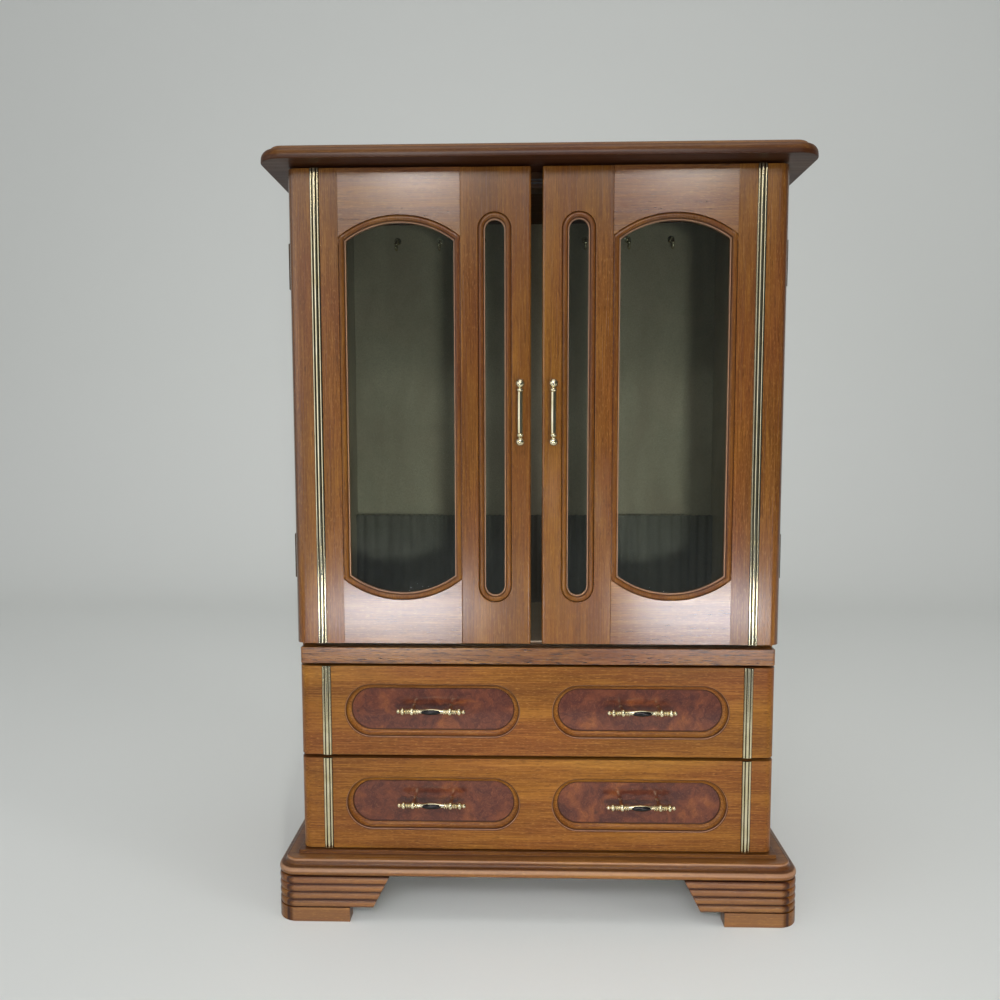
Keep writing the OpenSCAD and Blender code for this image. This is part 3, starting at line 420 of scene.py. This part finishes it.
def over_drawer_front(face, spot, eased_edge):
    """Painted shade lies at the rim, in the groove and at the foot of an oval recess, with a painted
    highlight on the bead between rim and groove and on eased edges outside; its slope takes the light.
    """
    recess_end, recess_back, recess_foot = 128, 6.5, 4.5
    rim, bead, groove = 0.5, 0.9, 1.5
    behind = (spot.y - face_y) / MM
    set_back = face.calc_center_median().y - face_y > 0.05 * MM
    in_recess = face.normal.y < 0.9 and set_back and behind < recess_back
    if not in_recess or abs(spot.x) > recess_end * MM:
        # outside the recess: a painted highlight on eased edges
        return (0.0, 0.3 if eased_edge else 0.0)
    # the rim: painted shade
    if behind < rim:
        return (0.8, 0.0)
    # the bead: a painted highlight
    if behind < bead:
        return (0.0, 0.3)
    # the groove: painted shade
    if behind < groove:
        return (0.8, 0.0)
    # the foot of the recess: painted shade
    return (0.85, 0.0) if behind > recess_foot else (0.0, 0.0)


def over_strip(face, spot, eased_edge):
    """Faces of a brass strip that don't face the front are darkened: tarnish in its grooves, where no cloth
    reaches, and painted shade on the flanks of its beads.
    """
    faces_front = face.normal.y <= -0.87
    # flanks and grooves: tarnish and painted shade
    return (0.0 if faces_front else 0.75, 0.0)


def over_slab(face, spot, eased_edge):
    """Painted shade lies under the top's edge, in the groove below its lip and on its ovolo, deepest at the
    corners; its lip and the foot of its ovolo get painted highlights.
    """
    lip, groove, round_top, ovolo_foot, underside = 0.35, 0.8, 2.2, 7.2, 7.8
    corner_x = 163
    down = slab_top - spot.z / MM
    if face.normal.z > 0.9:
        return (0.08, 0.0)
    # the underside: painted shade
    if down > underside or face.normal.z < -0.985:
        return (0.8, 0.0)
    # the lip: a painted highlight
    if down < lip:
        return (0.0, 0.6)
    # the groove under the lip: painted shade
    if down < groove:
        return (0.65, 0.0)
    if down < round_top:
        return (0.2, 0.08)
    # the foot of the ovolo: a painted highlight
    if down > ovolo_foot:
        return (0.0, 0.6)
    # the ovolo, darker at the corners as painted shade
    return (0.44 if abs(spot.x) < corner_x * MM else 0.66, 0.0)


def over_foot(face, spot, eased_edge):
    """Painted shade lies in the hollows between the reeds and in the step over the foot's plain block, and a
    faint painted highlight on the reeds' crests.
    """
    crest, full_dark, back = 0.2, 0.9, 1.6
    hollow = min(spot.y - foot_front, foot_side - abs(spot.x)) / MM
    if hollow > back or spot.y > 0:
        return (0.16, 0.0)
    # painted shade deepening into each hollow, and a faint painted highlight on the crests
    return (min(0.95, 0.1 + 0.85 * max(0.0, hollow) / full_dark), 0.1 if hollow < crest else 0.0)


def over_outer_stile(face, spot, eased_edge):
    """The rounded outer edge of a door is painted darker and redder than its flat face, as shade, and its
    eased edges get a faint painted highlight.
    """
    rounded = 3.5
    inward = (stile_edge - abs(spot.x)) / MM
    # the rounding: painted shade; eased edges: a painted highlight
    return (0.38 if inward < rounded else 0.04, 0.12 if eased_edge else 0.0)


def over_base(face, spot, eased_edge):
    """Painted shade lies under the base, in the cove over its nose and along the step under the drawers;
    painted highlights lie on the nose and on the bead over the cove.
    """
    under_lip, nose, cove, cove_top, deck = 1.0, 3.0, 5.2, 8.4, 9.5
    up = spot.z / MM - base_foot
    # the underside and bottom edge: painted shade
    if face.normal.z < -0.9 or up < under_lip:
        return (0.7, 0.0)
    # the cove: painted shade
    if cove < up < cove_top:
        return (0.6, 0.0)
    # the step under the drawers: painted shade
    if up > deck and spot.y > deck_front:
        return (0.45, 0.0)
    # painted highlights on the bead over the cove and the top of the nose, faintly elsewhere
    return (0.0, 0.3 if cove_top < up < deck or nose < up < cove else 0.05)


# ---------------------------------------------------------------- making pieces

def marked(shape, grain, board, shade):
    """Gives each corner of each face its board number, how dark the stain and painted shade are there,
    how strong its painted highlight is, and for grained wood a UV map whose U runs across the grain."""
    made = shape.faces.layers.int.get("eased")
    layers = shape.loops.layers.float
    number, tone, painted_highlight = layers.new("board"), layers.new("tone"), layers.new("painted_highlight")
    across = shape.loops.layers.uv.new("across_grain") if grain else None
    along = Vector([float(axis == grain) for axis in "XYZ"])
    for face in shape.faces:
        side = face.normal.cross(along)
        side = side.normalized() if side.length > 0.2 else face.normal.orthogonal().normalized()
        other = side.cross(face.normal)
        for corner in face.loops:
            spot = corner.vert.co
            corner[number] = board
            corner[tone], corner[painted_highlight] = shade(face, spot, bool(made and face[made]))
            if across:
                corner[across].uv = (spot.dot(side), spot.dot(other))


def finished(shape, node, material, board=0.0, grain=None, shade=evenly(), corner=40, name=None):
    """Makes the piece that stands for a CAD node from a bmesh, smooth up to a corner in degrees."""
    marked(shape, grain, board, shade)
    name = (name or node) + "_piece"
    mesh = bpy.data.meshes.new(name)
    shape.to_mesh(mesh)
    shape.free()
    mesh.materials.append(material)
    mesh.polygons.foreach_set("use_smooth", [True] * len(mesh.polygons))
    mesh.set_sharp_from_angle(angle=math.radians(corner))
    piece = bpy.data.objects.new(name, mesh)
    bpy.context.scene.collection.objects.link(piece)
    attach(piece, nodes[node]["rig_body"])
    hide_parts(node)
    return piece


def solid_of(node, flat=1.0):
    """A bmesh copy of a CAD node, merged, with faces that turn by less than flat degrees joined."""
    shape = bmesh.new()
    shape.from_mesh(nodes[node].data)
    bmesh.ops.remove_doubles(shape, verts=shape.verts, dist=2e-6)
    bmesh.ops.dissolve_limit(shape, angle_limit=math.radians(flat), verts=shape.verts, edges=shape.edges)
    return shape


def eased(shape, width, over=35, segments=2):
    """Rounds the edges of a bmesh that turn by more than an angle in degrees, and marks the new faces."""
    edges = [e for e in shape.edges if e.is_manifold and e.calc_face_angle(0) > math.radians(over)]
    made = bmesh.ops.bevel(shape, geom=edges, offset=width, offset_type="OFFSET", segments=segments,
                           profile=0.5, affect="EDGES", clamp_overlap=True, material=-1)["faces"]
    layer = shape.faces.layers.int.new("eased")
    for face in made:
        if face.is_valid:
            face[layer] = 1
    return shape


def board_piece(node, grain, board, shade=evenly(), ease=0.5, material=None):
    """A wooden board with sanded edges, in place of its CAD node."""
    shape = eased(solid_of(node), ease * MM)
    material = material or (hardwood[grain] if grain else softwood)
    piece = finished(shape, node, material, board, grain, shade)
    piece.modifiers.new("even_shading", "WEIGHTED_NORMAL").keep_sharp = True


def smooth_copy(node, material, board=0.0, shade=evenly()):
    """A CAD node with even shading over its round faces."""
    finished(solid_of(node, 0.2), node, material, board, shade=shade)


def turned(shape, outline, centre, axis, steps=40):
    """Adds a piece turned on a lathe: outline is (distance along the axis, radius) in millimetres
    from one end to the other, and centre is where distance 0 lies."""
    axis = Vector(axis)
    out = axis.orthogonal().normalized()
    points = [shape.verts.new(centre + axis * (d * MM) + out * (r * MM)) for d, r in outline]
    edges = [shape.edges.new(pair) for pair in zip(points, points[1:])]
    bmesh.ops.spin(shape, geom=points + edges, cent=centre, axis=axis, angle=math.tau, steps=steps,
                   use_merge=True, use_duplicate=False)
    bmesh.ops.remove_doubles(shape, verts=shape.verts, dist=3e-6)
    bmesh.ops.recalc_face_normals(shape, faces=shape.faces)


def swelling(middle, half, radius, neck, steps=8):
    """Outline points of a rounded bead that rises from a neck to a radius."""
    turns = [math.pi * (i / steps - 0.5) for i in range(steps + 1)]
    return [(middle + half * math.sin(t), neck + (radius - neck) * math.cos(t)) for t in turns]


def mirrored(outline):
    """An outline with its mirror image before it."""
    return [(-d, r) for d, r in reversed(outline)] + outline


# ---------------------------------------------------------------- the case

def make_catch():
    """The catch's moulded housing, and the tips of its two steel pole plates, which stand out of it."""
    node = "magnetic_catch"
    edge_r, sunk, slack = 0.5 * MM, 0.5 * MM, 0.05 * MM
    low, high = (Vector(corner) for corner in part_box(node))
    # the node's foremost vertices are the plates' tips, and the next ones are the housing's front
    low.y = sorted({round(v.co.y, 6) for v in nodes[node].data.vertices})[1]
    housing = bmesh.new()
    for vert in bmesh.ops.create_cube(housing, size=1)["verts"]:
        vert.co = Vector([(low if c < 0 else high)[i] for i, c in enumerate(vert.co)])
    finished(eased(housing, edge_r), node, plastic)
    tips = solid_of(node)
    behind = [f for f in tips.faces if all(v.co.y > low.y - slack for v in f.verts)]
    bmesh.ops.delete(tips, geom=behind, context="FACES")
    bmesh.ops.holes_fill(tips, edges=[e for e in tips.edges if e.is_boundary], sides=0)
    bmesh.ops.recalc_face_normals(tips, faces=tips.faces)
    bmesh.ops.translate(tips, vec=(0, sunk, 0), verts=[v for v in tips.verts if v.co.y > low.y - slack])
    finished(tips, node, steel, name="magnetic_catch_plates")


def make_pouch():
    """Velvet cut wider than the case, gathered on a hem and held along its foot."""
    low, high = (Vector(corner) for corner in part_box("necklace_pouch"))
    gathers, per_gather, rows = 34, 12, 18
    cloth_t, hem_h, hem_swell, hem_seam = 0.6 * MM, 5.5 * MM, 0.2 * MM, 0.1 * MM
    shape = bmesh.new()
    bmesh.ops.create_grid(shape, x_segments=gathers * per_gather, y_segments=rows, size=0.5)
    for vert in shape.verts:
        across, up = vert.co.x + 0.5, vert.co.y + 0.5
        # slow waves of other lengths keep the gathers from being alike
        drift = 0.008 * math.sin(19.1 * across + 1.0) + 0.004 * math.sin(47.3 * across) \
            + 0.003 * (1 - up) * math.sin(31.0 * across + 2.0)
        fold = 0.5 - 0.5 * math.cos(math.tau * gathers * (across + drift))
        deep = (2.3 + 0.3 * math.sin(27.0 * across + 0.6)) * (0.45 + 0.55 * up ** 0.7)
        belly = 0.35 * math.sin(math.pi * up) ** 0.8
        end = min(1.0, min(across, 1 - across) / 0.02)
        y = high.y - (0.85 + (deep * fold ** 0.8 + belly) * end) * MM
        sag = 0.6 * abs(math.sin(math.tau * gathers * (across + drift))) * up ** 4 * MM
        vert.co = Vector((low.x + across * (high.x - low.x), y, low.z + up * (high.z - low.z) - sag))
    bmesh.ops.recalc_face_normals(shape, faces=shape.faces)
    if shape.faces[0].normal.y > 0:
        bmesh.ops.reverse_faces(shape, faces=shape.faces)
    bmesh.ops.solidify(shape, geom=shape.faces, thickness=cloth_t)
    shape.normal_update()
    hem = high.z - hem_h
    for vert in shape.verts:
        over = (vert.co.z - hem) / hem_h
        if over > 0:
            vert.co += vert.normal * (hem_swell * math.sin(math.pi * min(1.0, over * 1.15)) ** 0.5)
        elif over > -0.18:
            vert.co -= vert.normal * hem_seam
    piece = finished(shape, "necklace_pouch", shade_darkened_velvet, corner=80)


def make_case():
    board_piece("top_slab", "X", 1.0, over_slab, 0.3)
    board_piece("left_side_panel", "Z", 2.0)
    board_piece("right_side_panel", "Z", 3.0)
    board_piece("mid_rail", "X", 4.0, evenly(0.04, 0.3), 0.4, open_hardwood)
    board_piece("base_board", "X", 5.0, over_base, 0.3, rubbed_hardwood)
    for i, foot in enumerate(("front_left_foot", "front_right_foot", "back_left_foot", "back_right_foot")):
        board_piece(foot, "X", 6.0 + i, over_foot, 0.3, rubbed_hardwood)
    board_piece("back_panel", None, 11.0, ease=0.2)
    board_piece("compartment_floor", None, 12.0, ease=0.2)
    board_piece("dust_board", None, 13.0, ease=0.2)
    for node in ("back_lining", "compartment_linings"):
        smooth_copy(node, velvet)
    make_pouch()
    make_catch()
    smooth_copy("necklace_hooks", brass)
    for node in ("case_hinge_leaves", "hinge_pins", "case_hinge_screws"):
        smooth_copy(node, bronze)


# ---------------------------------------------------------------- the doors

def make_handle(node):
    """A straight rod between two balls, with a collar beside each. Each ball stands on a post that
    ends in a small rose against the door."""
    low, high = (Vector(corner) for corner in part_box(node))
    ball = (high.x - low.x) / 2 / MM
    middle = Vector(((low.x + high.x) / 2, low.y + ball * MM, (low.z + high.z) / 2))
    span = (high.z - low.z) / 2 / MM - ball
    ball_half = [(span + ball * math.sin(math.radians(t)), ball * math.cos(math.radians(t)))
                 for t in range(-65, 90, 10)] + [(span + ball, 0.0)]
    rod = [(0.0, 1.8), (8.0, 1.78), (span - 5.3, 1.72)]
    collar = swelling(span - 4.1, 1.1, 2.2, 1.5)
    neck = [(span - 2.75, 1.2)]
    shape = bmesh.new()
    turned(shape, mirrored(rod + collar + neck + ball_half), middle, (0, 0, 1))
    reach = (high.y - middle.y) / MM
    post = [(0.0, 0.0), (0.0, 1.3), (reach - 3.2, 1.45), (reach - 1.9, 1.6)]
    rose = [(reach - 1.5, 2.3), (reach - 0.9, 2.6), (reach, 2.6), (reach, 0.0)]
    for side in (-1, 1):
        turned(shape, post + rose, middle + Vector((0, 0, side * span * MM)), (0, 1, 0), 32)
    finished(shape, node, brass, corner=50)


def make_door(side, first):
    """One door. Its boards are numbered from first."""
    name = side + "_door_"
    board_piece(name + "outer_stile", "Z", first, over_outer_stile, material=silky_hardwood)
    board_piece(name + "inner_stile", "Z", first + 1, evenly(0.14, 0.12), material=silky_hardwood)
    board_piece(name + "top_rail", "X", first + 2, evenly(0.05, 0.10), 0.15, satin_hardwood)
    board_piece(name + "bottom_rail", "X", first + 3, evenly(0.05, 0.10), 0.15, satin_hardwood)
    finished(solid_of(name + "mouldings", 0.2), name + "mouldings", rubbed_upright_hardwood, first + 4, "Z",
             over_moulding, 50)
    smooth_copy(name + "glass", glass)
    finished(solid_of(name + "glass_beads"), name + "glass_beads", softwood, first + 5)
    smooth_copy(name + "brass_strip", brass, shade=over_strip)
    make_handle(name + "handle")
    for node in ("hinge_leaves", "hinge_screws"):
        smooth_copy(name + node, bronze)
    smooth_copy(name + "strike_plate", steel)


# ---------------------------------------------------------------- the drawers

# where a pull's two large beads and its posts are, from its middle
BEAD_AT = 12.4

# half of a pull's turned outline, from the middle of its swelling to its tip
PULL = (
    [(7.8 * i / 8, 1.30 + 0.85 * math.cos(math.pi / 2 * i / 8) ** 1.3) for i in range(8)]
    + [(7.8, 1.30)]
    + swelling(8.6, 0.55, 2.2, 1.3, 6)
    + swelling(10.0, 0.6, 2.35, 1.3, 6)
    + swelling(BEAD_AT, 1.5, 2.65, 1.3)
    + swelling(14.7, 0.5, 2.2, 1.25, 6)
    + swelling(16.1, 0.6, 2.3, 1.2, 6)
    + swelling(18.5, 1.4, 2.6, 1.0)
    + [(20.1, 0.9)]
    + swelling(21.3, 1.15, 1.6, 0.8, 6)[:-2]
    + [(22.5, 0.6), (22.8, 0.0)]
)


def make_pulls(name):
    """Spool-turned pulls on two tapered posts, each with a black enamel lens in its middle swelling."""
    lens_half, lens_r, lens_forward, lens_drop = 6.7, 1.85, 0.85 * MM, 0.12 * MM
    low, high = (Vector(corner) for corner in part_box(name + "pulls"))
    half = PULL[-1][0] * MM
    height = (low.z + high.z) / 2
    depth = low.y + max(r for d, r in PULL) * MM
    reach = (high.y - depth) / MM
    post = [(0.0, 0.0), (0.0, 1.9), (2.0, 1.7), (reach * 0.6, 1.15), (reach - 0.3, 1.05), (reach, 1.3),
            (reach, 0.0)]
    lens = [(lens_half * math.sin(math.radians(t)), lens_r * math.cos(math.radians(t)))
            for t in range(-90, 91, 9)]
    brass_shape, lens_shape = bmesh.new(), bmesh.new()
    for side in (-1, 1):
        middle = Vector((side * (high.x - half), depth, height))
        turned(brass_shape, mirrored(PULL[1:])[:len(PULL) - 1] + PULL, middle, (1, 0, 0))
        for end in (-1, 1):
            turned(brass_shape, post, middle + Vector((end * BEAD_AT * MM, 0, 0)), (0, 1, 0), 28)
        turned(lens_shape, lens, middle - Vector((0, lens_forward, lens_drop)), (1, 0, 0), 36)
    finished(brass_shape, name + "pulls", brass, corner=50)
    finished(lens_shape, name + "pull_inlays", enamel, corner=60)


def make_drawer(level, first):
    """One drawer. Its boards are numbered from first."""
    name = level + "_drawer_"
    board_piece(name + "front", "X", first, over_drawer_front, 0.4)
    board_piece(name + "box", None, first + 1, ease=0.3)
    board_piece(name + "bottom", None, first + 2, ease=0.2)
    smooth_copy(name + "lining", velvet)
    smooth_copy(name + "plaques", burl, first)
    smooth_copy(name + "brass_strips", brass, shade=over_strip)
    make_pulls(name)


# ---------------------------------------------------------------- studio

def stage_object(name, shape, colour, smooth=False):
    """A matt thing that isn't part of the object, made from a bmesh."""
    mesh = bpy.data.meshes.new(name)
    shape.to_mesh(mesh)
    shape.free()
    mesh.polygons.foreach_set("use_smooth", [smooth] * len(mesh.polygons))
    material, tree, shader = new_material(name + "_paper", roughness=0.9, specular_ior_level=0.1,
                                          base_color=srgb(colour))
    mesh.materials.append(material)
    thing = bpy.data.objects.new(name, mesh)
    bpy.context.scene.collection.objects.link(thing)
    return thing


def points_of(made):
    """The vertices among what an extrusion made."""
    return [g for g in made if isinstance(g, bmesh.types.BMVert)]


def make_floor():
    """A pale paper sweep that keeps the object's shadow, and rises in a bend behind it."""
    half_width, half_length, forward = 4, 2.2, 1.3
    bends, bend_r, wall_h = 12, 0.55, 3
    shape = bmesh.new()
    bmesh.ops.create_grid(shape, x_segments=1, y_segments=1, size=1.0)
    bmesh.ops.scale(shape, vec=(half_width, half_length, 1), verts=shape.verts)
    far = [e for e in shape.edges if all(v.co.y > 0 for v in e.verts)]
    bmesh.ops.translate(shape, vec=(0, -forward, 0), verts=[v for e in far for v in e.verts])
    turn = math.radians(90 / bends)
    for i in range(bends):
        made = bmesh.ops.extrude_edge_only(shape, edges=far)["geom"]
        far = [g for g in made if isinstance(g, bmesh.types.BMEdge)]
        angle, step = turn * (i + 0.5), bend_r * turn
        bmesh.ops.translate(shape, vec=(0, step * math.cos(angle), step * math.sin(angle)),
                            verts=points_of(made))
    made = bmesh.ops.extrude_edge_only(shape, edges=far)["geom"]
    bmesh.ops.translate(shape, vec=(0, 0, wall_h), verts=points_of(made))
    stage_object("floor", shape, "#dcdeda", smooth=True)


def make_card():
    """A grey card in front and to the right, on the floor and upright, that only metal, glass and
    lacquer see, so that they have something darker than the room to reflect."""
    card_h = 2.6
    width, length, middle = 4.4, 2.25, (0.2, -1.575, 0.003)
    shape = bmesh.new()
    foot = [shape.verts.new(spot) for spot in ((-0.95, -2.7, 0), (2.2, -2.7, 0), (2.7, 0.3, 0))]
    edges = [shape.edges.new(pair) for pair in zip(foot, foot[1:])]
    made = bmesh.ops.extrude_edge_only(shape, edges=edges)["geom"]
    bmesh.ops.translate(shape, vec=(0, 0, card_h), verts=points_of(made))
    made = bmesh.ops.create_grid(shape, x_segments=1, y_segments=1, size=0.5)["verts"]
    bmesh.ops.scale(shape, vec=(width, length, 1), verts=made)
    bmesh.ops.translate(shape, vec=middle, verts=made)
    card = stage_object("grey_card", shape, "#666b6f")
    card.visible_camera = card.visible_diffuse = card.visible_shadow = False


def lamp(name, place, target, width, height, power, tint="#ffffff", lights=True, shines=True, spread=180):
    """A rectangular lamp, in metres and watts. One that doesn't light shows only in gloss and glass,
    and one that doesn't shine shows in neither. The spread of its beam is in degrees."""
    light = bpy.data.lights.new(name, "AREA")
    light.shape = "RECTANGLE"
    light.size, light.size_y = width, height
    light.energy = power
    light.spread = math.radians(spread)
    light.color = srgb(tint)[:3]
    thing = bpy.data.objects.new(name, light)
    thing.location = place
    thing.rotation_euler = (Vector(target) - Vector(place)).to_track_quat("-Z", "Y").to_euler()
    thing.visible_camera = False
    thing.visible_diffuse = lights
    thing.visible_glossy = thing.visible_transmission = shines
    bpy.context.scene.collection.objects.link(thing)


def studio():
    """Pale floor and surround, a window high in front, a small low lamp in front, softer light from
    both sides and above, and four small lamps that show only in the doors' lacquer, brass and glass."""
    make_floor()
    make_card()
    world = bpy.data.worlds.new("surround")
    bpy.context.scene.world = world
    world.use_nodes = True
    surround = world.node_tree.nodes["Background"]
    surround.inputs["Color"].default_value = srgb("#f3f4f5")
    surround.inputs["Strength"].default_value = 0.39
    lamp("window", (-0.10, -1.85, 1.46), (0, 0, 0.28), 1.15, 0.35, 14, "#fbfbff")
    lamp("front", (0.10, -1.0, 0.21), (0, 0, 0.10), 0.07, 0.07, 0.74, shines=False, spread=60)
    lamp("left", (-1.30, -1.1, 0.6), (0, 0.05, 0.28), 2.1, 1.2, 7.5, "#f6f9ff")
    lamp("right", (1.9, -1.0, 0.8), (0, 0, 0.28), 0.4, 1.0, 9, shines=False)
    lamp("ceiling", (0.0, -0.2, 1.9), (0, 0, 0.2), 1.2, 0.8, 6)
    lamp("high_left", (-0.33, -2.0, 1.22), (-0.07, 0, 0.47), 0.20, 0.26, 2.3, "#fff8f0", lights=False)
    lamp("high_right", (0.49, -2.0, 1.21), (0.10, 0, 0.47), 0.20, 0.26, 1.7, "#fff8f0", lights=False)
    lamp("low_left", (-0.215, -0.9, 0.028), (-0.08, 0, 0.2), 0.25, 0.05, 0.78, "#f4f7ff", lights=False)
    lamp("low_right", (0.30, -0.9, 0.028), (0.10, 0, 0.2), 0.24, 0.05, 0.80, "#f4f7ff", lights=False)


camera_at_the_photographs_view()
make_case()
make_door("left", 20.0)
make_door("right", 30.0)
make_drawer("upper", 40.0)
make_drawer("lower", 50.0)
studio()
